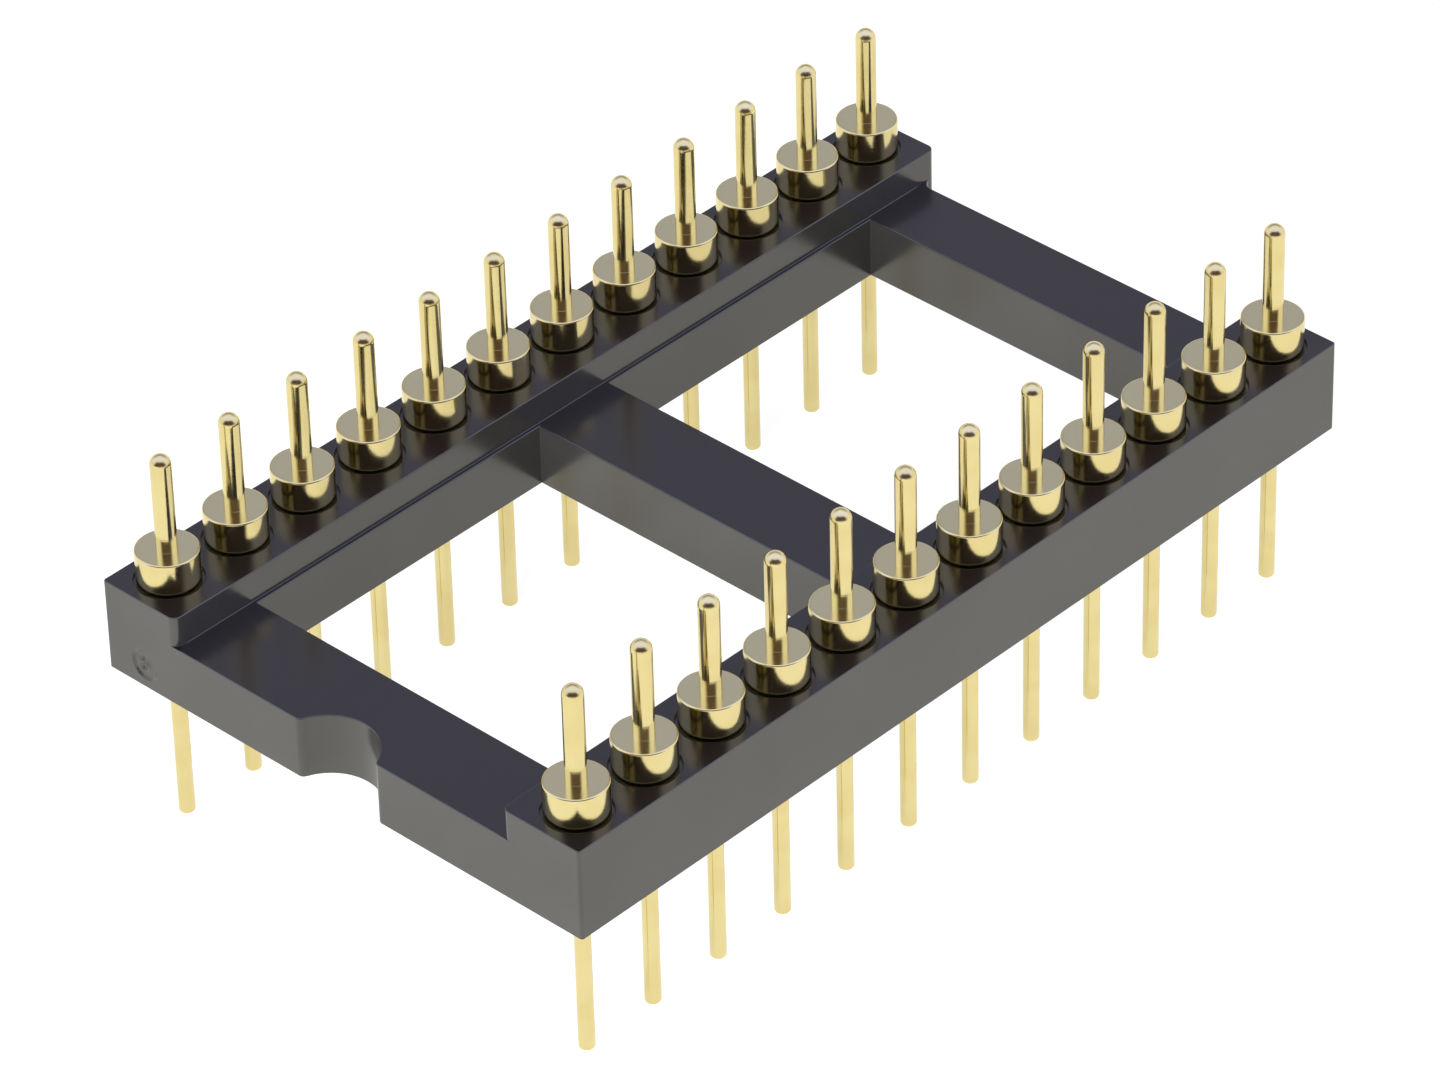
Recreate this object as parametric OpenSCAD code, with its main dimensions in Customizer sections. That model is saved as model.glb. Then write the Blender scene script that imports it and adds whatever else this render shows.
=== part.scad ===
// Dual-in-line pin adapter: a moulded frame that carries two rows of turned contact pins.
// Lengths are in millimetres. +X runs along the rows, +Y across them, +Z up.
// The origin lies midway between the rows and midway along them, level with the tips of the tails.
// The notch is at the -X end. Contact 1 is at that end of the -Y row, and the count runs along
// that row and back along the other one.

/* [Contacts] */
// Contacts in each row
contacts_per_row = 12; // [4:1:29]
// Distance between neighbouring contacts in a row
pitch = 2.54; // [2.3:0.01:4]
// Distance between the two rows of contacts
row_spacing = 15.24; // [10:0.01:25]

/* [Rails] */
// Height of the rails, from the underside to the top
rail_h = 2.9; // [2.5:0.05:4]
// From a row of contacts out to the rail's outer face
rail_outer = 1.27; // [1.15:0.01:2.5]
// From a row of contacts in to the rail's inner face
rail_inner = 1.52; // [1.15:0.01:2.5]
// From the last contact of a row to the rail's end face
rail_end = 1.27; // [1.15:0.01:2.5]
// Width of the ledge low on the rail's inner face
ledge_w = 0.12; // [0.05:0.01:0.5]
// Radius of the frame's four outer upright corners
outer_corner_r = 0.1; // [0.05:0.01:0.25]
// Radius of the upright corners where the rails' inner faces meet their end faces
inner_corner_r = 0.25; // [0.05:0.05:0.25]

/* [Cross bars] */
// Height of the cross bars and of the ledge, from the underside
bar_h = 1.95; // [1:0.05:2.4]
// Width of the bar at the notch end
notch_bar_w = 2.9; // [2:0.05:3.5]
// Width of the middle bar
middle_bar_w = 2.8; // [1:0.05:4]
// Width of the bar at the far end
far_bar_w = 2.35; // [1:0.05:3.5]
// How far the far bar stands back from the ends of the rails
far_bar_setback = 0.6; // [0.6:0.05:1.5]
// Fillet where the set-back face of the far bar meets the rails
setback_fillet_r = 0.35; // [0.05:0.05:0.35]
// Fillet in the upright corners of the two windows
window_fillet_r = 0.05; // [0.03:0.01:0.5]

/* [Notch and gate mark] */
// Radius of the notch, whose centre lies outside the end face
notch_r = 1.5; // [1.2:0.05:2]
// Depth of the notch at its middle
notch_depth = 1.03; // [0.5:0.01:1.2]
// Rounding of the notch's two mouth edges
notch_mouth_r = 0.2; // [0.1:0.05:0.8]
// Diameter of the round gate mark on the notch-end face
gate_d = 0.9; // [0.4:0.05:1]
// Depth of the gate mark
gate_depth = 0.08; // [0.06:0.01:0.2]
// Height of the gate mark's centre above the underside
gate_z = 0.75; // [0.6:0.05:1.2]
// From the frame's outer side face in to the gate mark's centre
gate_inset = 1.45; // [1:0.05:1.8]
// Diameter of the cut-off gate left inside the mark
gate_stub_d = 0.3; // [0.1:0.05:0.35]
// How far the cut-off gate stays below the end face
gate_stub_sink = 0.03; // [0.01:0.01:0.05]

/* [Pin posts and collars] */
// Diameter of the upper post
post_d = 0.6; // [0.4:0.01:0.9]
// Height of the post above the collar, with its domed end
post_h = 3.05; // [1.5:0.05:6]
// Diameter of the collar
collar_d = 1.8; // [1.6:0.01:1.9]
// How far the collar stands above the rail
collar_stand = 1; // [0.3:0.05:2]
// Rounding of the collar's rim
collar_rim_r = 0.06; // [0.02:0.01:0.15]
// Depth of the seat that takes the foot of the collar
seat_depth = 0.1; // [0.05:0.01:0.3]
// Gap round the collar in its seat
seat_gap = 0.09; // [0.03:0.01:0.15]

/* [Pin stems and tails] */
// Diameter of the stem inside the rail
stem_d = 1.3; // [1:0.01:1.4]
// Diameter of the retaining barb on the stem
barb_d = 1.42; // [1.41:0.01:1.55]
// Length of the barb along the stem
barb_l = 0.45; // [0.2:0.05:0.6]
// Height of the barb's sharp edge above the rail's underside
barb_z = 1.75; // [1.5:0.05:2]
// Gap all round between the stem and its moulded hole
stem_gap = 0.01; // [0.005:0.005:0.03]
// From the rail's underside up to the cone that joins tail and stem
stem_recess = 0.05; // [0.05:0.05:0.4]
// Length of that cone
shoulder_l = 0.4; // [0.1:0.05:0.5]
// Diameter of the tail
tail_d = 0.46; // [0.3:0.01:0.8]
// Length of the tail below the rail
tail_l = 5.05; // [2:0.05:12]
// Chamfer at the tip of the tail
tail_chamfer = 0.08; // [0.02:0.01:0.12]

/* [Hidden] */
$fn = 48;
// Overshoot of cutting shapes, so that none ends flush with the face it cuts
cut = 0.2;

row_y = row_spacing / 2;
first_x = -(contacts_per_row - 1) * pitch / 2;
frame_l = (contacts_per_row - 1) * pitch + 2 * rail_end;
frame_w = row_spacing + 2 * rail_outer;
end_x = frame_l / 2;
inner_y = row_y - rail_inner;
ledge_y = inner_y - ledge_w;
// Inner face of the notch-end bar and set-back outer face of the far bar
notch_face_x = notch_bar_w - end_x;
far_face_x = end_x - far_bar_setback;

underside_z = tail_l;
rail_top_z = underside_z + rail_h;
seat_z = rail_top_z - seat_depth;
collar_top_z = rail_top_z + collar_stand;
stem_end_z = underside_z + stem_recess;
barb_edge_z = underside_z + barb_z;

pin_count = 2 * contacts_per_row;
function pin_name(n) = str("pin_", n < 10 ? "0" : "", n);
// Place of contact n: out along the -Y row, back along the +Y row
function pin_column(n) = n <= contacts_per_row ? n - 1 : pin_count - n;
function pin_x(n) = first_x + pin_column(n) * pitch;
function pin_y(n) = n <= contacts_per_row ? -row_y : row_y;

// Rectangle from low to high corner with all four corners rounded alike
module rounded_box_plan(low, high, r) {
    translate([low.x + r, low.y]) square([high.x - low.x - 2 * r, high.y - low.y]);
    translate([low.x, low.y + r]) square([high.x - low.x, high.y - low.y - 2 * r]);
    for (x = [low.x + r, high.x - r])
        for (y = [low.y + r, high.y - r])
            translate([x, y]) circle(r = r);
}

// What rounding takes off one corner of a plan; inward holds the two signs that lead into the plan
module corner_waste(corner, inward, r) {
    low_x = corner.x - (inward.x > 0 ? cut : r);
    low_y = corner.y - (inward.y > 0 ? cut : r);
    difference() {
        translate([low_x, low_y]) square(r + cut);
        translate(corner + r * inward) circle(r = r);
    }
}

// One rail above the ledge, seen from above
module rail_plan(side) {
    low_y = side < 0 ? -frame_w / 2 : inner_y;
    high_y = side < 0 ? -inner_y : frame_w / 2;
    low_r = side < 0 ? outer_corner_r : inner_corner_r;
    high_r = side < 0 ? inner_corner_r : outer_corner_r;
    difference() {
        translate([-end_x, low_y]) square([2 * end_x, high_y - low_y]);
        for (way = [-1, 1]) {
            corner_waste([way * end_x, low_y], [-way, 1], low_r);
            corner_waste([way * end_x, high_y], [-way, -1], high_r);
        }
    }
}

// The notch: an arc in the end face whose mouth edges are rounded outwards
module notch_plan() {
    // How far the centre of the arc, and the centres of the mouth's roundings from it, lie along X
    outside = notch_r - notch_depth;
    mouth_x = outside + notch_mouth_r;
    reach = notch_r + notch_mouth_r;
    mouth_y = sqrt(pow(reach, 2) - pow(mouth_x, 2));
    touch_x = notch_r * mouth_x / reach - outside;
    translate([-end_x, 0]) {
        translate([-outside, 0]) circle(r = notch_r);
        translate([-cut, -mouth_y]) square([cut, 2 * mouth_y]);
        difference() {
            translate([0, -mouth_y]) square([touch_x, 2 * mouth_y]);
            for (side = [-1, 1])
                translate([notch_mouth_r, side * mouth_y]) circle(r = notch_mouth_r);
        }
    }
}

// Fillet between the set-back face of the far bar and one rail
module setback_fillet(side) {
    r = setback_fillet_r;
    low_y = side < 0 ? -inner_y - cut : inner_y - r;
    difference() {
        translate([far_face_x - cut, low_y]) square(r + cut);
        translate([far_face_x + r, side * (inner_y - r)]) circle(r = r);
    }
}

// The lower layer: everything up to the bars' tops and the ledges
module lower_plan() {
    for (side = [-1, 1]) {
        rail_plan(side);
        setback_fillet(side);
    }
    difference() {
        translate([-end_x, -inner_y - inner_corner_r])
            square([far_face_x + end_x, 2 * (inner_y + inner_corner_r)]);
        rounded_box_plan([notch_face_x, -ledge_y], [-middle_bar_w / 2, ledge_y], window_fillet_r);
        rounded_box_plan([middle_bar_w / 2, -ledge_y], [far_face_x - far_bar_w, ledge_y],
            window_fillet_r);
        notch_plan();
    }
}

// Half section of one moulded hole: stem passage, groove of the barb and seat of the collar
module hole_profile() {
    r = stem_d / 2 + stem_gap;
    barb_r = barb_d / 2 + stem_gap;
    seat_r = collar_d / 2 + seat_gap;
    low_z = underside_z - cut;
    high_z = rail_top_z + cut;
    polygon([
        [0, low_z],
        [r, low_z],
        [r, barb_edge_z - barb_l],
        [barb_r, barb_edge_z],
        [r, barb_edge_z],
        [r, seat_z],
        [seat_r, seat_z],
        [seat_r, high_z],
        [0, high_z]
    ]);
}

// The round mark where the frame was cut from its gate, with the stub left in it
module gate_mark() {
    translate([-end_x, frame_w / 2 - gate_inset, underside_z + gate_z])
        rotate([0, 90, 0])
            difference() {
                translate([0, 0, -cut]) cylinder(d = gate_d, h = gate_depth + cut);
                translate([0, 0, gate_stub_sink]) cylinder(d = gate_stub_d, h = gate_depth);
            }
}

module frame() {
    color([0.11, 0.11, 0.12])
    difference() {
        union() {
            translate([0, 0, underside_z]) linear_extrude(bar_h) lower_plan();
            for (side = [-1, 1])
                translate([0, 0, underside_z]) linear_extrude(rail_h) rail_plan(side);
        }
        for (n = [1 : pin_count])
            translate([pin_x(n), pin_y(n), 0]) rotate_extrude() hole_profile();
        gate_mark();
    }
}

// Half section of one turned contact, from the tip of its tail to its domed end
module pin_profile() {
    tail_r = tail_d / 2;
    stem_r = stem_d / 2;
    collar_r = collar_d / 2;
    post_r = post_d / 2;
    rim_z = collar_top_z - collar_rim_r;
    dome_z = collar_top_z + post_h - post_r;
    polygon([
        [0, 0],
        [tail_r - tail_chamfer, 0],
        [tail_r, tail_chamfer],
        [tail_r, stem_end_z],
        [stem_r, stem_end_z + shoulder_l],
        [stem_r, barb_edge_z - barb_l],
        [barb_d / 2, barb_edge_z],
        [stem_r, barb_edge_z],
        [stem_r, seat_z],
        [collar_r, seat_z],
        [collar_r, rim_z],
        [collar_r - collar_rim_r, rim_z],
        [collar_r - collar_rim_r, collar_top_z],
        [post_r, collar_top_z],
        [post_r, dome_z],
        [0, dome_z]
    ]);
    translate([collar_r - collar_rim_r, rim_z]) circle(r = collar_rim_r);
    intersection() {
        translate([0, dome_z]) circle(r = post_r);
        translate([0, collar_top_z]) square([post_r, post_h]);
    }
}

// One contact, standing on the tip of its tail
module pin() {
    color([0.86, 0.7, 0.32]) rotate_extrude() pin_profile();
}

frame();
for (n = [1 : pin_count])
    translate([pin_x(n), pin_y(n), 0]) pin();
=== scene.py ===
# %% [markdown]
# # A dual-in-line pin adapter, dressed in Blender
#
# The object is a small moulded frame of glossy black plastic that carries two rows of turned, gold-plated
# contact pins. It is about 30 mm long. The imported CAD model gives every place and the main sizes, and this
# lesson puts a finer skin over each solid: rounded mould edges, lathe-turned metal and materials that react
# to light as the real ones do.
#
# Shapes are worked out as whole arrays with numpy and handed to Blender in one go. Materials are built from
# nodes, written as short Python expressions. All lengths below are in millimetres until a mesh is made.

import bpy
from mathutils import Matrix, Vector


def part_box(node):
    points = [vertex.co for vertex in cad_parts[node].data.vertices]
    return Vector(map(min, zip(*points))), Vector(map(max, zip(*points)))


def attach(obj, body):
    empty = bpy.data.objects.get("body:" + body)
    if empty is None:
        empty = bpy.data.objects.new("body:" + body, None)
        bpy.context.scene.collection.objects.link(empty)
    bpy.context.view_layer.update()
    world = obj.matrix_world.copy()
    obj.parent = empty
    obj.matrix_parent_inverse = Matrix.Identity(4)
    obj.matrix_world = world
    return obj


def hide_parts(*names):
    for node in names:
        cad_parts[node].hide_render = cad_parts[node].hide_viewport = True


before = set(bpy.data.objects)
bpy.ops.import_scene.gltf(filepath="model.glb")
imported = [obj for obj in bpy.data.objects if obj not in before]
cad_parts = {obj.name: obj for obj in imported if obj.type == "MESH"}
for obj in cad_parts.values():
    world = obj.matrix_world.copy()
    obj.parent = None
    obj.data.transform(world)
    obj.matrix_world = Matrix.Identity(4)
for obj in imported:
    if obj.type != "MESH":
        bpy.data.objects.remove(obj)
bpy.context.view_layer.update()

# %% [markdown]
# ## What the lesson needs
#
# numpy does the geometry. Blender's own `delaunay_2d_cdt` fills flat faces that have holes in them, such as
# the top of a rail with twelve round seats: it makes well-shaped triangles that keep to every given edge.

# %% Imports and units
import math

import bpy
import numpy as np
from mathutils import Vector
from mathutils.geometry import delaunay_2d_cdt

MM = 0.001
INSIDE_WITHOUT_HOLES = 2
PLACES_PER_MM = 20000
print("Blender", bpy.app.version_string)

# %% [markdown]
# ## Sizes that come from the CAD model
#
# A dressed piece has to stay where its solid is, so the outer sizes are read from the boxes of the CAD
# nodes. Each pin stands on a vertical axis through the middle of its own box.

# %% Read the boxes


def box_mm(node):
    """Lowest and highest corner of a CAD node in millimetres, to the nearest micrometre."""
    low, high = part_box(node)
    return np.round(np.array(low) / MM, 3), np.round(np.array(high) / MM, 3)


frame_low, frame_high = box_mm("frame")
END_X, SIDE_Y = frame_high[0], frame_high[1]
UNDER_Z, RAIL_Z = frame_low[2], frame_high[2]

pin_nodes = sorted(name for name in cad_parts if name.startswith("pin_"))
pin_axis = {name: np.round(sum(box_mm(name))[:2] / 2, 2) for name in pin_nodes}
ROW_Y = max(axis[1] for axis in pin_axis.values())
TIP_Z = box_mm(pin_nodes[0])[1][2]
print(len(pin_nodes), "pins in rows at y = +/-%.2f; frame %.2f x %.2f mm" % (ROW_Y, 2 * END_X, 2 * SIDE_Y))

# %% [markdown]
# ## Sizes inside the boxes
#
# These are the same values that the CAD source names: the heights of the two layers, the widths of the
# cross bars, the notch and the seats of the pins. Two places differ: the windows' upright corners are
# sharper here than in the solids, and the gate mark is a little shallower, with a soft rim. The small radii
# at the end are new. Every edge of a moulding is slightly round, because a mould cannot make a knife edge,
# and such an edge catches the light.

# %% Name the inner sizes
BAR_Z = UNDER_Z + 1.95
INNER_Y = ROW_Y - 1.52
LEDGE_Y = INNER_Y - 0.12
OUTER_CORNER_R = 0.1
CORNER_R = 0.25
NOTCH_BAR_W = 2.9
MIDDLE_BAR_W = 2.8
FAR_BAR_W = 2.35
SETBACK = 0.6
SETBACK_R = 0.35
WINDOW_R = 0.004
NOTCH_R = 1.5
NOTCH_DEPTH = 1.03
MOUTH_R = 0.2
GATE_Y = SIDE_Y - 1.45
GATE_Z = UNDER_Z + 0.75
GATE_R = 0.45
GATE_DEPTH = 0.06
GATE_RIM = 0.06

COLLAR_R = 0.9
COLLAR_Z = RAIL_Z + 1.0
POST_R = 0.3
TAIL_R = 0.23
STEM_R = 0.65
BARB_R = 0.71
STEM_Z = UNDER_Z + 0.05
SHOULDER_Z = STEM_Z + 0.4
BARB_Z = UNDER_Z + 1.75
BARB_LENGTH = 0.45
SEAT_Z = RAIL_Z - 0.1
SEAT_R = COLLAR_R + 0.09
PLAY = 0.01

EDGE_R = 0.03
WELD_R = 0.02
RIM_R = 0.03
EDGE_STEPS = 5
print("bars %.2f mm high, rails %.2f mm high" % (BAR_Z - UNDER_Z, RAIL_Z - UNDER_Z))

# %% [markdown]
# ## A skin made of patches
#
# A piece is a closed skin, and a skin is sewn from patches. Each patch brings its corner points and, for
# each corner, the true normal of the surface there. Blender shades with those normals, so a rounded edge
# looks round with few faces and a flat face stays flat up to its last corner.
#
# The alternative is to let Blender guess smooth and sharp edges by angle, which leaves faint shadows on
# large flats beside small radii. Known normals avoid that.

# %% The Skin class


class Skin:
    """Patches of one piece, sewn into one mesh."""

    def __init__(self):
        self.points, self.normals, self.uvs, self.faces, self.count = [], [], [], [], 0

    def _add(self, points, normals, uvs, faces):
        """Keeps corner arrays and faces that index them; faces is an n x 3 or n x 4 array."""
        self.points.append(points)
        self.normals.append(normals)
        self.uvs.append(uvs)
        self.faces.append(faces + self.count)
        self.count += len(points)

    def sheet(self, points, normals, uvs=None):
        """Adds a grid, rows x columns x 3. Each face joins (row, column) to its next row and next column."""
        rows, columns = points.shape[:2]
        index = np.arange(rows * columns).reshape(rows, columns)
        quads = np.stack([index[:-1, :-1], index[:-1, 1:], index[1:, 1:], index[1:, :-1]], -1).reshape(-1, 4)
        uvs = np.zeros((rows, columns, 2)) if uvs is None else uvs
        self._add(points.reshape(-1, 3), normals.reshape(-1, 3), uvs.reshape(-1, 2), quads)

    def flat(self, loops, normal):
        """Adds a flat face: the first loop is its outline and the others are holes in it.

        The loops are seen in two dimensions, with the axis that the normal follows left out, and the outline
        is walked anticlockwise there. Each triangle that comes back is told in places of the loop points.
        A flat that faces up gets UV (1, 1), set apart from walls and edges at (0, 0), so a finish can paint
        tops darker.
        """
        loops = [without_repeats(loop) for loop in loops]
        points = np.concatenate(loops)
        starts = np.cumsum([0] + [len(loop) for loop in loops])
        edges = np.concatenate([np.column_stack([start + np.arange(len(loop)),
                                                 start + np.roll(np.arange(len(loop)), -1)])
                                for start, loop in zip(starts, loops)])
        seen = np.delete(points, int(np.argmax(np.abs(normal))), axis=1)
        x, y = seen[:starts[1]].T
        turn = 1 if (x * np.roll(y, -1) - np.roll(x, -1) * y).sum() > 0 else -1
        outline = list(range(starts[1]))[::turn]
        _, _, triangles, origin, _, _ = delaunay_2d_cdt(
            [Vector(p) for p in seen], edges.tolist(), [outline], INSIDE_WITHOUT_HOLES, 1e-6)
        first = np.array([places[0] for places in origin])
        self._add(points, np.tile(np.array(normal, float), (len(points), 1)),
                  np.full((len(points), 2), max(normal[2], 0.0)), first[np.array(triangles)])

    def mesh(self, name):
        """Welds corners that share a place, turns every face outwards and returns the Blender mesh."""
        points = np.concatenate(self.points)
        normals = np.concatenate(self.normals)
        uvs = np.concatenate(self.uvs)
        _, first, weld = np.unique(np.round(points * PLACES_PER_MM).astype(np.int64), axis=0,
                                   return_index=True, return_inverse=True)
        weld = weld.reshape(-1)
        quads = np.concatenate([f for f in self.faces if f.shape[1] == 4] or [np.zeros((0, 4), int)])
        triangles = [f for f in self.faces if f.shape[1] == 3]
        # A quad with one side closed up becomes a triangle, and one with two such sides goes.
        ids = weld[quads]
        closed = ids == np.roll(ids, -1, axis=1)
        for side in range(4):
            only = closed[:, side] & (closed.sum(1) == 1)
            triangles.append(np.delete(quads[only], side, axis=1))
        quads = quads[~closed.any(1)]
        triangles = np.concatenate(triangles)
        t = weld[triangles]
        triangles = triangles[(t[:, 0] != t[:, 1]) & (t[:, 1] != t[:, 2]) & (t[:, 2] != t[:, 0])]
        corners, starts = [], []
        at = 0
        for faces in (quads, triangles):
            sides = faces.shape[1]
            p = points[faces]
            facing = np.cross(p[:, 1] - p[:, 0], p[:, 2] - p[:, 0])
            if sides == 4:
                facing = np.cross(p[:, 2] - p[:, 0], p[:, 3] - p[:, 1])
            inward = (facing * normals[faces].sum(1)).sum(1) < 0
            faces = np.where(inward[:, None], faces[:, ::-1], faces)
            corners.append(faces.reshape(-1))
            starts.append(at + np.arange(len(faces)) * sides)
            at += faces.size
        corners, starts = np.concatenate(corners), np.concatenate(starts)
        mesh = bpy.data.meshes.new(name)
        mesh.vertices.add(len(first))
        mesh.vertices.foreach_set("co", (points[first] * MM).astype(np.float32).reshape(-1))
        mesh.loops.add(len(corners))
        mesh.loops.foreach_set("vertex_index", weld[corners].astype(np.int32))
        mesh.polygons.add(len(starts))
        mesh.polygons.foreach_set("loop_start", starts.astype(np.int32))
        mesh.update(calc_edges=True)
        mesh.validate()
        mesh.shade_smooth()
        layer = mesh.uv_layers.new(name="UVMap")
        layer.data.foreach_set("uv", uvs[corners].astype(np.float32).reshape(-1))
        unit = normals[corners] / np.linalg.norm(normals[corners], axis=1, keepdims=True)
        mesh.normals_split_custom_set(unit.tolist())
        return mesh


def without_repeats(loop):
    """A closed loop of points with neighbours that share a place made one."""
    step = np.linalg.norm(loop - np.roll(loop, 1, axis=0), axis=1)
    return loop[step > 1e-5]


def dress(name, mesh, node, material):
    """Makes a mesh a piece that rides on the part, stands for a CAD node and wears a material."""
    piece = bpy.data.objects.new(name, mesh)
    bpy.context.scene.collection.objects.link(piece)
    mesh.materials.append(material)
    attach(piece, "root")
    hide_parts(node)


print("skin tools ready")

# %% [markdown]
# ## Shader maths as Python
#
# A material is a small graph: textures feed maths, and maths feeds the surface shader. Clicking dozens of
# Math nodes together is slow and hard to read back, so one class wraps an output socket and gives it
# Python's operators. `1 - mask * 0.2` then adds the nodes by itself. Any other node comes from
# `Finish.node`, which sets the node up first and then fills or links its sockets.

# %% Wires and finishes


class Wire:
    """A node's output socket that can be used in a Python expression on values."""

    def __init__(self, finish, socket):
        self.finish, self.socket = finish, socket

    def _math(self, operation, *values):
        sockets = {place: value for place, value in enumerate(values)}
        return self.finish.node("ShaderNodeMath", {"operation": operation}, sockets)

    def __add__(self, other):
        return self._math("ADD", self, other)

    def __radd__(self, other):
        return self._math("ADD", other, self)

    def __sub__(self, other):
        return self._math("SUBTRACT", self, other)

    def __rsub__(self, other):
        return self._math("SUBTRACT", other, self)

    def __mul__(self, other):
        return self._math("MULTIPLY", self, other)

    def __rmul__(self, other):
        return self._math("MULTIPLY", other, self)

    def max(self, other):
        return self._math("MAXIMUM", self, other)

    def ramp(self, low, high):
        """0 below low, 1 above high and a smooth rise between."""
        return self.finish.node("ShaderNodeMapRange", {"interpolation_type": "SMOOTHSTEP"},
                                {"Value": self, "From Min": low, "From Max": high})

    def mix(self, first, second):
        """The first colour where this value is 0 and the second where it is 1."""
        return self.finish.node("ShaderNodeMix", {"data_type": "RGBA"}, {0: self, 6: first, 7: second}, 2)


class Finish:
    """A material, or the world, under construction."""

    def __init__(self, owner):
        owner.use_nodes = True
        self.owner, self.tree = owner, owner.node_tree
        self.tree.nodes.clear()

    def node(self, kind, settings=None, sockets=None, out=0):
        """Adds one node: its settings first, then a value or a wire for each named or numbered socket."""
        node = self.tree.nodes.new(kind)
        for name, value in (settings or {}).items():
            setattr(node, name, value)
        for name, value in (sockets or {}).items():
            socket = node.inputs[name]
            if isinstance(value, Wire):
                self.tree.links.new(value.socket, socket)
            elif socket.type == "RGBA":
                socket.default_value = (*value, 1)
            else:
                socket.default_value = value
        return Wire(self, node.outputs[out]) if len(node.outputs) else node

    def place(self):
        """Object coordinates, which stay on the piece from any view."""
        return self.node("ShaderNodeTexCoord", out=3)

    def noise(self, where, scale, detail=2.0, roughness=0.5, dimensions="3D"):
        """Smooth random values about 0.5; scale counts blobs per metre on Object coordinates."""
        name = "W" if dimensions == "1D" else "Vector"
        return self.node("ShaderNodeTexNoise", {"noise_dimensions": dimensions},
                         {name: where, "Scale": scale, "Detail": detail, "Roughness": roughness})

    def bump(self, height, distance, strength=1.0, normal=None):
        """Tilts the normal as if the surface rose by height times distance."""
        sockets = {"Height": height, "Distance": distance, "Strength": strength}
        if normal is not None:
            sockets["Normal"] = normal
        return self.node("ShaderNodeBump", None, sockets)

    def surface(self, shader):
        self.node("ShaderNodeOutputMaterial", None, {"Surface": shader})
        return self.owner


print("shader tools ready")

# %% [markdown]
# ## Glossy black plastic
#
# Frames like this are usually a glass-filled thermoplastic from a polished mould: near black, with a clear
# reflection that is softened a little by very fine unevenness. Three things keep it from looking like
# paint: the colour drifts slightly, the gloss varies in broad patches where the melt flowed, and a faint
# bump breaks up long straight reflections. The tops are painted a deeper black than the walls, a painted
# shade for the darker sky that they mirror, which the UV flag of the flats brings in.
#
# Seen at a slant, dark plastic shows mostly what it mirrors. The IOR of 1.8 is chosen and is higher than a
# real plastic's, which is nearer 1.5 or 1.6. It makes that mirror image strong enough for the walls to show
# the white floor as a mid grey, and a slightly warm tint keeps the grey from turning blue.

# %% The frame's finish
plastic = Finish(bpy.data.materials.new("frame_plastic"))
where = plastic.place()
patches = plastic.noise(where, 260, detail=3)
grain = plastic.noise(where, 9000, detail=3, roughness=0.6)
ripple = plastic.noise(where, 700, detail=1)
colour = patches.ramp(0.3, 0.7).mix((0.017, 0.0165, 0.016), (0.025, 0.0245, 0.024))
# Painted shade: flats that face up get a deeper black, standing in for the darker sky that the tops mirror.
top_painted_shade = plastic.node("ShaderNodeSeparateXYZ", None, {0: plastic.node("ShaderNodeTexCoord", out=2)})
colour = top_painted_shade.mix(colour, (0.009, 0.0075, 0.008))
gloss = 0.14 + patches * 0.08 + grain * 0.06
relief = plastic.bump(ripple, 0.000004, 0.6)
relief = plastic.bump(grain, 0.0000012, 0.5, relief)
black_plastic = plastic.surface(plastic.node("ShaderNodeBsdfPrincipled", None, {
    "Base Color": colour, "Roughness": gloss, "IOR": 1.8, "Specular Tint": (1.0, 0.98, 0.94),
    "Normal": relief}))
print("made", black_plastic.name)

# %% [markdown]
# ## The frame's outline as paths
#
# Seen from above, every wall of the frame follows straight lines and arcs that run into each other without
# a kink. A path is therefore an array with four columns: x, y and the outward normal's x and y. Moving each
# point against its normal gives the same outline further in, which is all that a rounded edge needs.

# %% Lines and arcs


def line(start, end, normal, stops=()):
    """Straight path from start to end.

    Points also lie at the stops: distances from the start, or from the end where they are negative.
    """
    start, end = np.array(start, float), np.array(end, float)
    length = np.linalg.norm(end - start)
    t = np.array([0.0, *(stop / length % 1 for stop in stops), 1.0])[:, None]
    points = start * (1 - t) + end * t
    return np.hstack([points, np.tile(np.array(normal, float), (len(points), 1))])


def arc(centre, radius, start, end, hollow=False, steps=10):
    """Arc from one angle to another, in degrees; its normal points to the centre if it is hollow."""
    a = np.radians(np.linspace(start, end, steps + 1))
    ray = np.stack([np.cos(a), np.sin(a)], 1)
    return np.hstack([np.array(centre, float) + radius * ray, -ray if hollow else ray])


def join(*parts):
    """One path from several, with the points where two parts meet kept once."""
    path = np.concatenate(parts)
    step = np.linalg.norm(path[1:, :2] - path[:-1, :2], axis=1)
    return path[np.r_[True, step > 1e-6]]


def turned(path):
    """The path of the opposite rail: mirrored in y, and walked backwards to keep the plastic on one side."""
    return path[::-1] * np.array([1, -1, 1, -1])


def level(path, inset, z):
    """The path's points, moved into the material by inset and lifted to height z."""
    points = path[:, :2] - path[:, 2:] * np.reshape(inset, (-1, 1))
    return np.column_stack([points, np.broadcast_to(z, len(path))])


print("path tools ready")

# %% [markdown]
# ## Four kinds of path
#
# * the rail's free wall: full height, from the notch end round the outside to the far end,
# * the rail's step: the wall above the bars that faces the other rail,
# * the two bar faces that close the ends, one with the round notch and one set back between the rails,
# * the two windows between the bars.
#
# The notch is a hollow arc, with its centre outside the end face, whose mouth is rounded outwards. Both
# mouth circles touch the arc, so their centres lie at the sum of the radii from its centre, which gives
# `mouth_y`.

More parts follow.
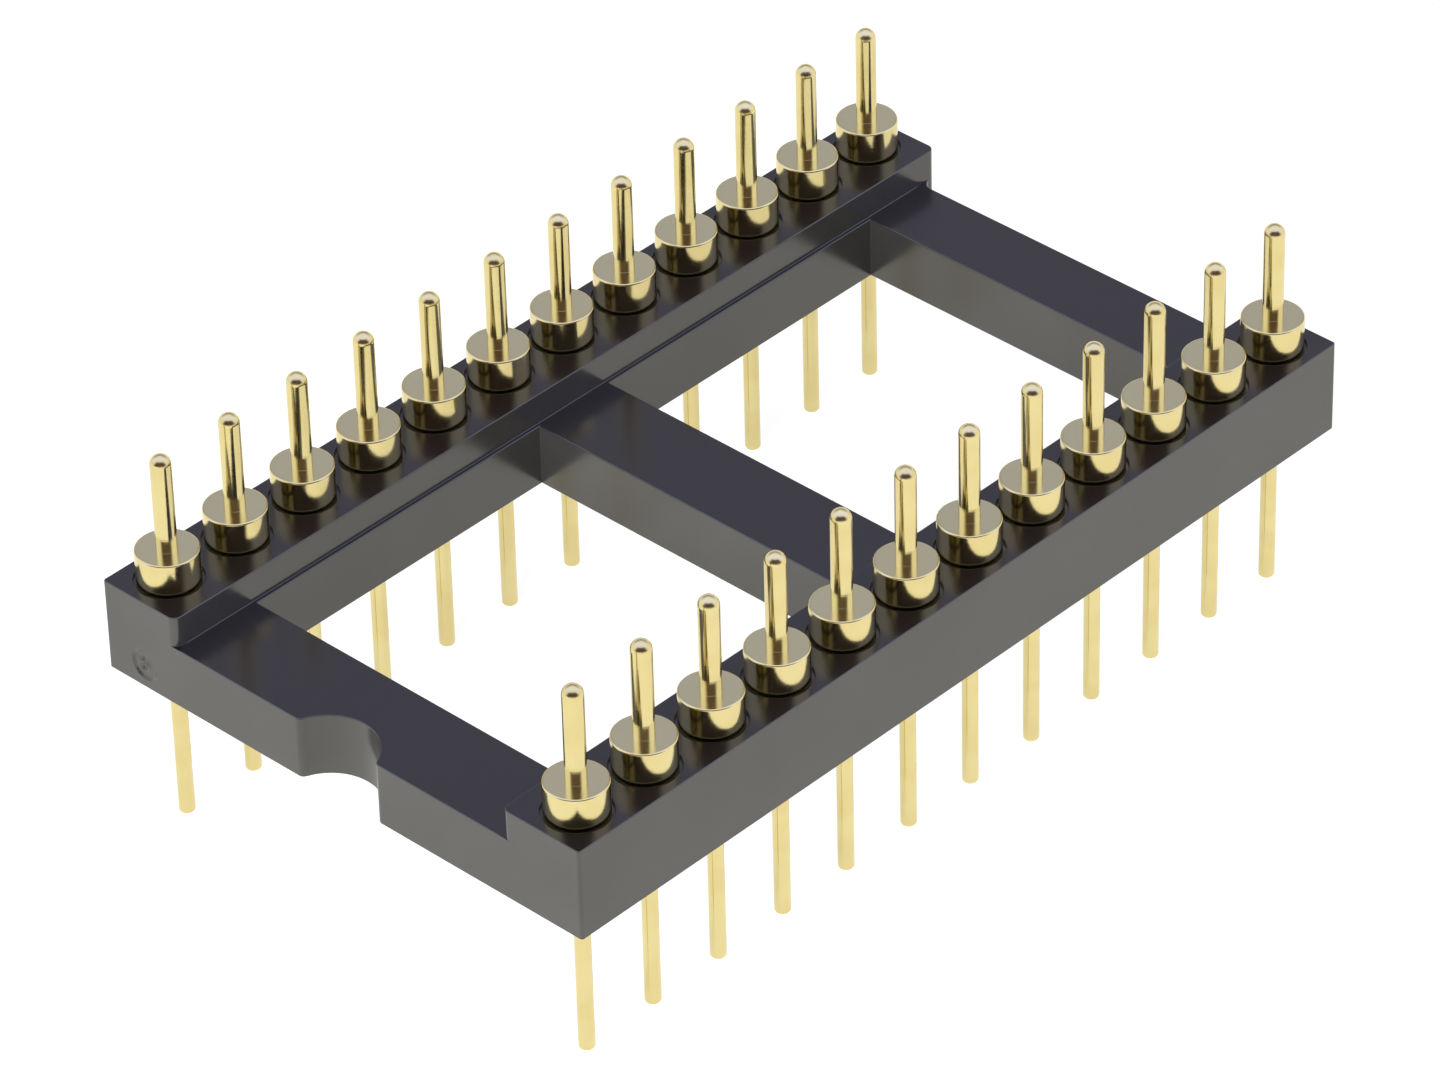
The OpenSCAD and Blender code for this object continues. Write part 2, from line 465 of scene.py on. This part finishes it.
# %% Trace the paths
FAR_X = END_X - SETBACK
GATE_HALF = 0.62
flat_to = -SIDE_Y + OUTER_CORNER_R
corner_x = END_X - OUTER_CORNER_R
gate_stops = [flat_to + GATE_Y + side * GATE_HALF for side in (-1, 1)]
front_free = join(
    line((-END_X, -INNER_Y - CORNER_R), (-END_X, flat_to), (-1, 0), gate_stops),
    arc((-corner_x, flat_to), OUTER_CORNER_R, 180, 270, steps=8),
    line((-corner_x, -SIDE_Y), (corner_x, -SIDE_Y), (0, -1)),
    arc((corner_x, flat_to), OUTER_CORNER_R, 270, 360, steps=8),
    line((END_X, flat_to), (END_X, -INNER_Y - CORNER_R), (1, 0)),
    arc((END_X - CORNER_R, -INNER_Y - CORNER_R), CORNER_R, 0, 90))
front_step = join(
    line((FAR_X + SETBACK_R, -INNER_Y), (-END_X + CORNER_R, -INNER_Y), (0, 1),
         (0.4, 0.5, 0.6, 0.7, -0.3, -0.2, -0.1)),
    arc((-END_X + CORNER_R, -INNER_Y - CORNER_R), CORNER_R, 90, 180))
far_face = join(
    arc((FAR_X + SETBACK_R, -INNER_Y + SETBACK_R), SETBACK_R, 270, 180, hollow=True, steps=12),
    line((FAR_X, -INNER_Y + SETBACK_R), (FAR_X, INNER_Y - SETBACK_R), (1, 0)),
    arc((FAR_X + SETBACK_R, INNER_Y - SETBACK_R), SETBACK_R, 180, 90, hollow=True, steps=12))
outside = NOTCH_R - NOTCH_DEPTH
mouth_x = outside + MOUTH_R
mouth_y = math.sqrt((NOTCH_R + MOUTH_R) ** 2 - mouth_x ** 2)
mouth_turn = math.degrees(math.atan2(mouth_y, mouth_x))
edge_stops = (CORNER_R, 0.3, 0.35, 0.4, 0.45, 0.5)
near_face = join(
    line((-END_X, INNER_Y + CORNER_R), (-END_X, mouth_y), (-1, 0), edge_stops),
    arc((-END_X + MOUTH_R, mouth_y), MOUTH_R, 180, 180 + mouth_turn),
    arc((-END_X - outside, 0), NOTCH_R, mouth_turn, -mouth_turn, hollow=True, steps=28),
    arc((-END_X + MOUTH_R, -mouth_y), MOUTH_R, 180 - mouth_turn, 180),
    line((-END_X, -mouth_y), (-END_X, -INNER_Y - CORNER_R), (-1, 0), [-stop for stop in edge_stops[::-1]]))


def window(low_x, high_x):
    """A window's wall, walked so that the plastic is on the left; its corners are small fillets."""
    r = WINDOW_R
    return join(
        arc((low_x + r, -LEDGE_Y + r), r, 270, 180, hollow=True, steps=6),
        arc((low_x + r, LEDGE_Y - r), r, 180, 90, hollow=True, steps=6),
        arc((high_x - r, LEDGE_Y - r), r, 90, 0, hollow=True, steps=6),
        arc((high_x - r, -LEDGE_Y + r), r, 0, -90, hollow=True, steps=6))


windows = [window(-END_X + NOTCH_BAR_W, -MIDDLE_BAR_W / 2), window(MIDDLE_BAR_W / 2, FAR_X - FAR_BAR_W)]
print("rail path", len(front_free), "points; notch face", len(near_face), "points")

# %% [markdown]
# ## Walls with rounded edges
#
# A wall is a path carried up a small profile. At the foot the profile is a quarter circle that turns from
# facing down to facing out, then comes the straight wall, then a quarter circle that turns to facing up.
# Where a bar runs into a rail, its rounded edge has to die out, so the radius may change along the path.

# %% Sew walls


def quarter(path, radius, z, facing):
    """Rows of a rounded edge from the flat face to the wall.

    At angle a the row is inset by radius x (1 - sin a) and lies radius x (1 - cos a) from the flat face at
    height z. Its normal is sin a outwards plus cos a along facing, which is -1 for down and +1 for up.
    """
    rows, normals = [], []
    radius = np.broadcast_to(radius, len(path)).astype(float)
    for a in np.linspace(0, math.pi / 2, EDGE_STEPS):
        rows.append(level(path, radius * (1 - math.sin(a)), z - facing * radius * (1 - math.cos(a))))
        normals.append(np.column_stack([path[:, 2:] * math.sin(a), np.full(len(path), facing * math.cos(a))]))
    return rows, normals


def weld_rows(path, radius, z):
    """Rows of the small hollow where a wall rises from a flat face.

    It is a quarter circle that faces out and up: at angle a the row lies radius x (1 - sin a) outside the
    wall and radius x (1 - cos a) above z, and its normal is sin a outwards plus cos a upwards.
    """
    rows, normals = [], []
    radius = np.broadcast_to(radius, len(path)).astype(float)
    for a in np.linspace(0, math.pi / 2, EDGE_STEPS):
        rows.append(level(path, -radius * (1 - math.sin(a)), z + radius * (1 - math.cos(a))))
        normals.append(np.column_stack([path[:, 2:] * math.sin(a), np.full(len(path), math.cos(a))]))
    return rows, normals


def closed(path):
    """A closed path's points with the first one again at the end."""
    return np.vstack([path, path[:1]])


def fade(path, hold, length):
    """0 over the first and last stretch of a path, as long as hold, then a smooth rise to 1 over length."""
    run = np.r_[0, np.cumsum(np.linalg.norm(np.diff(path[:, :2], axis=0), axis=1))]
    t = np.clip((np.minimum(run, run[-1] - run) - hold) / length, 0, 1)
    return t * t * (3 - 2 * t)


def wall(path, top_z, top_radius, middle=(), foot=True, foot_radius=EDGE_R):
    """Rows and normals of one wall, from its foot to its top edge.

    With a foot it starts at the underside with a quarter circle; without one it rises from the bars' tops
    out of a small hollow. The straight part lies between, and middle holds heights where rows have to lie.
    """
    if foot:
        rows, normals = quarter(path, foot_radius, UNDER_Z, -1)
    else:
        rows, normals = weld_rows(path, foot_radius, BAR_Z)
    for z in middle:
        rows.append(level(path, 0, z))
        normals.append(np.column_stack([path[:, 2:], np.zeros(len(path))]))
    top_rows, top_normals = quarter(path, top_radius, top_z, 1)
    return np.array(rows + top_rows[::-1]), np.array(normals + top_normals[::-1])


moulding = Skin()
near_edge = EDGE_R * fade(near_face, CORNER_R, 0.25)
far_edge = EDGE_R * fade(far_face, 0.1, 0.35)
step_weld = WELD_R * fade(front_step, 0.4, 0.3)

front_rows, front_normals = wall(front_free, RAIL_Z, EDGE_R, middle=(BAR_Z,))
back_free, back_step = turned(front_free), turned(front_step)
back_rows, back_normals = wall(back_free, RAIL_Z, EDGE_R, middle=(BAR_Z,))
moulding.sheet(front_rows, front_normals)
print("walls sewn:", sum(len(f) for f in moulding.faces), "faces")

# %% [markdown]
# ## The gate mark
#
# Molten plastic enters the mould through a gate, and breaking it off leaves a shallow round mark on the
# notch-end face of one rail. The back rail's wall is therefore sewn with an opening there: the faces
# between two stops of its path are left out below the bar's height. A flat face with a round hole fills
# the opening. The mark itself is one sheet of height over a round grid: a soft dish, a torn stub in the
# middle and two pits beside it. Because the height is a formula, its slopes are known too, and they give
# the true normals.

# %% Open the wall and set the mark in
# Torn spots of the mark: size, place along u and v, width
TORN = ((0.055, -0.04, 0.01, 0.10), (-0.06, 0.12, -0.12, 0.08), (-0.07, 0.10, 0.14, 0.09))

gate_y = [GATE_Y + GATE_HALF, GATE_Y - GATE_HALF]
left, right = (int(np.argmin(np.hypot(back_free[:, 0] + END_X, back_free[:, 1] - y))) for y in gate_y)
foot, bar = EDGE_STEPS - 1, EDGE_STEPS
over_mark = slice(left, right + 1)
for rows, columns in ((slice(None), slice(0, left + 1)), (slice(None), slice(right, None)),
                      (slice(0, foot + 1), over_mark), (slice(bar, None), over_mark)):
    moulding.sheet(back_rows[rows, columns], back_normals[rows, columns])


def gate_height(u, v):
    """Height of the mark at u, v and its slopes along u and v.

    Across the rim t falls from 1 to 0, and the dish is depth x t x t x (3 - 2 t) deep. Each torn spot adds
    size x e to the power of -(distance / width) squared; a spot with a negative size is a pit.
    """
    r = np.hypot(u, v)
    t = np.clip((GATE_R + GATE_RIM - r) / (2 * GATE_RIM), 0, 1)
    steep = GATE_DEPTH * 3 * t * (1 - t) / GATE_RIM / np.maximum(r, 1e-9)
    height, slope_u, slope_v = -GATE_DEPTH * t * t * (3 - 2 * t), steep * u, steep * v
    for size, at_u, at_v, width in TORN:
        spot = size * np.exp(-((u - at_u) ** 2 + (v - at_v) ** 2) / width ** 2)
        height = height + spot
        slope_u = slope_u - 2 * spot * (u - at_u) / width ** 2
        slope_v = slope_v - 2 * spot * (v - at_v) / width ** 2
    return height, slope_u, slope_v


r, a = np.meshgrid(np.linspace(0, GATE_R + GATE_RIM, 29), np.linspace(0, 2 * math.pi, 49), indexing="ij")
a[:, -1] = 0
u, v = r * np.cos(a), r * np.sin(a)
height, slope_u, slope_v = gate_height(u, v)
gate_points = np.stack([-END_X - height, GATE_Y + u, GATE_Z - v], -1)
moulding.sheet(gate_points, np.stack([-np.ones_like(u), -slope_u, slope_v], -1))
gate_rim = gate_points[-1, :-1]
opening = np.vstack([back_rows[foot, [left, right]], back_rows[bar, [right, left]]])
moulding.flat([opening, gate_rim], (-1, 0, 0))
print("gate mark at y = %.2f, z = %.2f" % (GATE_Y, GATE_Z))

# %% [markdown]
# ## Seats for the contacts
#
# Each contact is pressed into a round hole from above, and its collar sits in a shallow ring that is a
# little wider than the collar. That ring is the thin dark arc that shows beside every collar. Below it the
# hole fits the stem closely and has a groove for the barb. One outline, turned at every contact, makes
# all 24 holes.

# %% Turn the seats
TURN_STEPS = 64


def lathe(skin, runs, centre):
    """Turns an outline about an upright axis through centre.

    runs is a list of arrays with rows (radius, height, normal outwards, normal upwards). Normals are smooth
    within a run, and a sharp corner lies between two runs. A point at angle a is
    centre + radius x (cos a, sin a, 0) + height x (0, 0, 1). Returns the first and the last ring.
    """
    up, centre = np.array([0.0, 0.0, 1.0]), np.array(centre, float)
    a = np.linspace(0, 2 * math.pi, TURN_STEPS + 1)
    ray = np.stack([np.cos(a), np.sin(a), np.zeros_like(a)], 1)
    ray[-1] = ray[0]
    travelled = 0.0
    for run in runs:
        r, h, nr, nz = (run[:, k][:, None, None] for k in range(4))
        step = np.r_[0, np.cumsum(np.hypot(np.diff(run[:, 0]), np.diff(run[:, 1])))]
        uvs = np.stack(np.meshgrid(a / (2 * math.pi), travelled + step), -1)
        travelled += step[-1]
        skin.sheet(centre + r * ray + h * up, nr * ray + nz * up, uvs)
    return [centre + row[0] * ray[:-1] + row[1] * up for row in (runs[0][0], runs[-1][-1])]


def cut(*points):
    """A straight run of an outline, walked with the material on the left, as (radius, height) points."""
    p = np.array(points, float)
    d = p[-1] - p[0]
    normal = np.array([d[1], -d[0]]) / np.hypot(*d)
    return np.hstack([p, np.tile(normal, (len(p), 1))])


def curve(centre, radius, start, end, hollow=False, steps=6):
    """A curved run of an outline; angles in degrees are measured from the outward direction."""
    return arc(centre, radius, start, end, hollow, steps)


hole_r = STEM_R + PLAY
hole_outline = [
    curve((SEAT_R + RIM_R, RAIL_Z - RIM_R), RIM_R, 90, 180),
    cut((SEAT_R, RAIL_Z - RIM_R), (SEAT_R, SEAT_Z)),
    cut((SEAT_R, SEAT_Z), (hole_r, SEAT_Z)),
    cut((hole_r, SEAT_Z), (hole_r, BARB_Z)),
    cut((hole_r, BARB_Z), (BARB_R + PLAY, BARB_Z)),
    cut((BARB_R + PLAY, BARB_Z), (hole_r, BARB_Z - BARB_LENGTH)),
    cut((hole_r, BARB_Z - BARB_LENGTH), (hole_r, UNDER_Z + RIM_R)),
    curve((hole_r + RIM_R, UNDER_Z + RIM_R), RIM_R, 180, 270)]
top_rims, under_rims = {-1: [], 1: []}, []
for x, y in pin_axis.values():
    top_rim, under_rim = lathe(moulding, hole_outline, (x, y, 0))
    top_rims[-1 if y < 0 else 1].append(top_rim)
    under_rims.append(under_rim)
print(len(under_rims), "seats turned")

# %% [markdown]
# ## Closing the flats
#
# What is left open is flat: the underside, the tops of the two rails, and one level that holds the bars'
# tops and the narrow ledges along the windows. Each is bordered by rows that the walls and rims already
# have, so the same corner points close the skin without a gap.

# %% Close the flats and make the frame
near_rows, near_normals = wall(near_face, BAR_Z, near_edge)
far_rows, far_normals = wall(far_face, BAR_Z, far_edge)
front_step_rows, front_step_normals = wall(front_step, RAIL_Z, EDGE_R, foot=False, foot_radius=step_weld)
back_step_rows, back_step_normals = wall(back_step, RAIL_Z, EDGE_R, foot=False, foot_radius=step_weld[::-1])
for rows, normals in ((near_rows, near_normals), (far_rows, far_normals),
                      (front_step_rows, front_step_normals), (back_step_rows, back_step_normals)):
    moulding.sheet(rows, normals)
window_rows = []
for path in windows:
    rows, normals = wall(closed(path), BAR_Z, EDGE_R)
    moulding.sheet(rows, normals)
    window_rows.append(rows)

under_edge = np.vstack([near_rows[0], front_rows[0], far_rows[0], back_rows[0]])
moulding.flat([under_edge] + [rows[0] for rows in window_rows] + under_rims, (0, 0, -1))
bar_edge = np.vstack([near_rows[-1], front_step_rows[0][::-1], far_rows[-1], back_step_rows[0][::-1]])
moulding.flat([bar_edge] + [rows[-1] for rows in window_rows], (0, 0, 1))
moulding.flat([np.vstack([front_rows[-1], front_step_rows[-1]])] + top_rims[-1], (0, 0, 1))
moulding.flat([np.vstack([back_rows[-1], back_step_rows[-1]])] + top_rims[1], (0, 0, 1))
frame_mesh = moulding.mesh("frame_moulding")
dress("frame_moulding", frame_mesh, "frame", black_plastic)
print("frame moulding:", len(frame_mesh.polygons), "faces")

# %% [markdown]
# ## The outline of a contact
#
# A contact is one outline turned about its axis, from the rounded end of the tail over stem, barb and
# collar up to the domed post. Every corner that the tool leaves is a little round. The lengths of the runs
# are added up, because the finish needs to know how far along the outline the collar's face and the dome
# begin.

# %% Draw the outline
TAIL_END_R = 0.1
COLLAR_RIM_R = 0.05
COLLAR_FOOT_R = 0.04
FILLET_R = 0.005
dome_z = TIP_Z - POST_R
pin_outline = [
    cut((0, 0), (TAIL_R - TAIL_END_R, 0)),
    curve((TAIL_R - TAIL_END_R, TAIL_END_R), TAIL_END_R, -90, 0),
    cut((TAIL_R, TAIL_END_R), (TAIL_R, STEM_Z)),
    cut((TAIL_R, STEM_Z), (STEM_R, SHOULDER_Z)),
    cut((STEM_R, SHOULDER_Z), (STEM_R, BARB_Z - BARB_LENGTH)),
    cut((STEM_R, BARB_Z - BARB_LENGTH), (BARB_R, BARB_Z)),
    cut((BARB_R, BARB_Z), (STEM_R, BARB_Z)),
    cut((STEM_R, BARB_Z), (STEM_R, SEAT_Z)),
    cut((STEM_R, SEAT_Z), (COLLAR_R - COLLAR_FOOT_R, SEAT_Z)),
    curve((COLLAR_R - COLLAR_FOOT_R, SEAT_Z + COLLAR_FOOT_R), COLLAR_FOOT_R, -90, 0),
    cut((COLLAR_R, SEAT_Z + COLLAR_FOOT_R), (COLLAR_R, COLLAR_Z - COLLAR_RIM_R)),
    curve((COLLAR_R - COLLAR_RIM_R, COLLAR_Z - COLLAR_RIM_R), COLLAR_RIM_R, 0, 90),
    cut((COLLAR_R - COLLAR_RIM_R, COLLAR_Z), (POST_R + FILLET_R, COLLAR_Z)),
    curve((POST_R + FILLET_R, COLLAR_Z + FILLET_R), FILLET_R, 270, 180, hollow=True),
    cut((POST_R, COLLAR_Z + FILLET_R), (POST_R, dome_z)),
    curve((0, dome_z), POST_R, 0, 90, steps=14)]
travel = np.cumsum([np.hypot(np.diff(run[:, 0]), np.diff(run[:, 1])).sum() for run in pin_outline])
FACE_FROM, FACE_TO, DOME_FROM = (float(travel[run]) for run in (11, 12, 14))
print("outline %.2f mm long; collar face from %.2f to %.2f" % (travel[-1], FACE_FROM, FACE_TO))

# %% [markdown]
# ## Gold on turned brass
#
# The contacts are turned on a lathe and plated with gold, so their colour is the metal's own reflection: a
# pale warm yellow. The cutting tool leaves fine rings round the axis. A contact's UV map holds the angle in
# U and the distance along its outline in V, so noise along V alone gives rings on posts, collars and tails
# alike. The same V tells where the flat face of the collar lies. That face gets a little more roughness
# for its satin finish, and a paler colour that is a painted sheen for the pale sky it mirrors. The tips
# are satin as well.

# %% The contacts' finish
gold = Finish(bpy.data.materials.new("pin_gold"))
along = gold.node("ShaderNodeSeparateXYZ", None, {0: gold.node("ShaderNodeTexCoord", out=2)}, 1)
where = gold.place()
rings = gold.noise(along, 22, detail=2, dimensions="1D")
clouds = gold.noise(where, 900, detail=2)
specks = gold.noise(where, 6000, detail=3)
face = along.ramp(FACE_FROM - 0.02, FACE_FROM + 0.02) - along.ramp(FACE_TO - 0.02, FACE_TO + 0.02)
dome = along.ramp(DOME_FROM, DOME_FROM + 0.1)
gold_tone_and_face_sheen = clouds.ramp(0.35, 0.65).mix((0.765, 0.64, 0.30), (0.795, 0.685, 0.335))
# Painted light: the collar's flat face gets a paler colour, a painted sheen that stands in for the pale grey
# sky it mirrors.
gold_tone_and_face_sheen = face.mix(gold_tone_and_face_sheen, (0.95, 0.86, 0.49))
polish = 0.10 + clouds * 0.06 + specks * 0.04 + face * 0.04 + dome * 0.10
relief = gold.bump(rings, 0.000002, 0.35)
relief = gold.bump(specks, 0.000003, 0.25, relief)
plated_gold = gold.surface(gold.node("ShaderNodeBsdfPrincipled", None, {
    "Base Color": gold_tone_and_face_sheen, "Metallic": 1.0, "Roughness": polish, "Normal": relief}))
print("made", plated_gold.name)

# %% [markdown]
# ## Turned contacts
#
# Each contact is the same outline turned about its own axis and pressed into its own seat.

# %% Turn the contacts
for name, (x, y) in pin_axis.items():
    contact = Skin()
    lathe(contact, pin_outline, (x, y, 0))
    contact_name = "contact_" + name[-2:]
    contact_mesh = contact.mesh(contact_name)
    dress(contact_name, contact_mesh, name, plated_gold)
print(len(pin_axis), "contacts of", len(contact_mesh.polygons), "faces")

# %% [markdown]
# ## Floor, world and lamps
#
# The part stands on its tails on a white sweep. The floor is a diffuse sheet with some glow of its own in
# rays from the camera, so that it reads as white there while the shadow stays as a faint tone. Metal and
# gloss get a slightly warmer white from it, which is why the walls and the contacts look bright: they
# mirror the floor.
#
# The sky is white to the camera. To glossy rays it is a studio, sorted by direction. The far side is a cool
# grey, and the flat tops mirror that, so they look darker than the walls. Overhead and to the left and
# right hang large cool soft boxes. The side where the camera stands is dark. Two mirror images in a row,
# by collar and post, show that darkness as the brown patch at the foot of each post, with the soft boxes
# as pale bands beside it.
#
# The cool sky and the slightly yellow floor are tuned to this one view, so under another light the gold
# looks more yellow. Two weak lamps add the little diffuse light that the plastic gives back, more of it on
# the notch end.

# %% Lay the floor and light the room
FLOOR_DROP = 0.02
FLOOR_HALF = 1.5
TOWARDS_CAMERA = (-0.72, -0.69, 0)
floor_mesh = bpy.data.meshes.new("floor")
corners = np.array([[-1, -1], [1, -1], [1, 1], [-1, 1]]) * FLOOR_HALF
floor_points = np.column_stack([corners, np.full(4, -FLOOR_DROP * MM)])
floor_mesh.from_pydata(floor_points.tolist(), [], [(0, 1, 2, 3)])
floor = bpy.data.objects.new("floor", floor_mesh)
bpy.context.scene.collection.objects.link(floor)

sweep = Finish(bpy.data.materials.new("white_sweep"))


def light_path(finish, kind):
    """Light Path output by name, as a wire: 1 for that kind of ray."""
    node = finish.tree.nodes.new("ShaderNodeLightPath")
    return Wire(finish, node.outputs[kind])


seen = (light_path(sweep, "Is Camera Ray").max(light_path(sweep, "Is Glossy Ray"))
        .max(light_path(sweep, "Is Transmission Ray")))
matt = sweep.node("ShaderNodeBsdfDiffuse", None, {"Color": (0.8, 0.8, 0.8)})
lit = sweep.node("ShaderNodeBsdfDiffuse", None, {"Color": (0.3, 0.3, 0.3)})
tone = light_path(sweep, "Is Glossy Ray").mix((0.9, 0.9, 0.9), (0.80, 0.79, 0.745))
glow = sweep.node("ShaderNodeEmission", None, {"Color": tone, "Strength": 1.0})
white = sweep.node("ShaderNodeAddShader", None, {0: lit, 1: glow})
shown = sweep.node("ShaderNodeMixShader", None, {0: seen, 1: matt, 2: white})
floor_mesh.materials.append(sweep.surface(shown))

room = bpy.data.worlds.new("room")
bpy.context.scene.world = room
sky = Finish(room)
direction = sky.place()
in_gloss = light_path(sky, "Is Glossy Ray")
in_camera = light_path(sky, "Is Camera Ray").max(light_path(sky, "Is Transmission Ray"))
to_front = sky.node("ShaderNodeVectorMath", {"operation": "DOT_PRODUCT"},
                    {0: direction, 1: TOWARDS_CAMERA}, 1)
height = sky.node("ShaderNodeSeparateXYZ", None, {0: direction}, 2)
bright = (1.0, 1.08, 1.65)
mirrored = to_front.ramp(-0.7, -0.3).mix((0.37, 0.375, 0.50), bright)
mirrored = height.ramp(0.2, 0.45).mix((1, 1, 1), mirrored)
mirrored = to_front.ramp(0.3, 0.62).mix(mirrored, (0.09, 0.06, 0.08))
mirrored = height.ramp(0.68, 0.9).mix(mirrored, bright)
colour = in_gloss.mix((0.32, 0.32, 0.34), mirrored)
colour = in_camera.mix(colour, (1, 1, 1))
sky.node("ShaderNodeOutputWorld", None,
         {"Surface": sky.node("ShaderNodeBackground", None, {"Color": colour, "Strength": 1.0})})


def soft_lamp(name, at, size, power):
    """Square area lamp, placed in metres and turned towards the part; power is in watts."""
    lamp = bpy.data.lights.new(name, "AREA")
    lamp.shape, lamp.size, lamp.energy = "SQUARE", size, power
    holder = bpy.data.objects.new(name, lamp)
    holder.location = at
    aim = -holder.location.normalized()
    holder.rotation_euler = aim.to_track_quat("-Z", "Y").to_euler()
    holder.visible_glossy = False
    bpy.context.scene.collection.objects.link(holder)
    return holder


soft_lamp("left_window", (-0.45, -0.12, 0.16), 0.3, 5.0)
soft_lamp("right_window", (0.05, -0.5, 0.2), 0.3, 0.4)
print("floor, room and lamps ready")

# %% [markdown]
# ## Camera
#
# The view is a long lens from above the notch end. Place, turn and focal length come from fitting a
# camera to the regular grid of the pins, taken as 2.54 and 15.24 mm. The fit is good to about two pixels
# in a frame of 1440 x 1080, and single places such as a leaning tail are off by more.

# %% Set up the camera
lens = bpy.data.cameras.new("camera")
lens.sensor_width = 36.0
lens.lens = 194.0627
lens.clip_start = 0.01
lens.clip_end = 10.0
camera = bpy.data.objects.new("camera", lens)
camera.location = np.array([-124.66861, -119.75606, 131.74340]) * MM
camera.rotation_euler = np.radians([53.78903731, 1.23380334, -46.93959684])
bpy.context.scene.collection.objects.link(camera)
bpy.context.scene.camera = camera
bpy.context.scene.view_settings.view_transform = "Standard"
print("camera at", [round(v, 4) for v in camera.location])
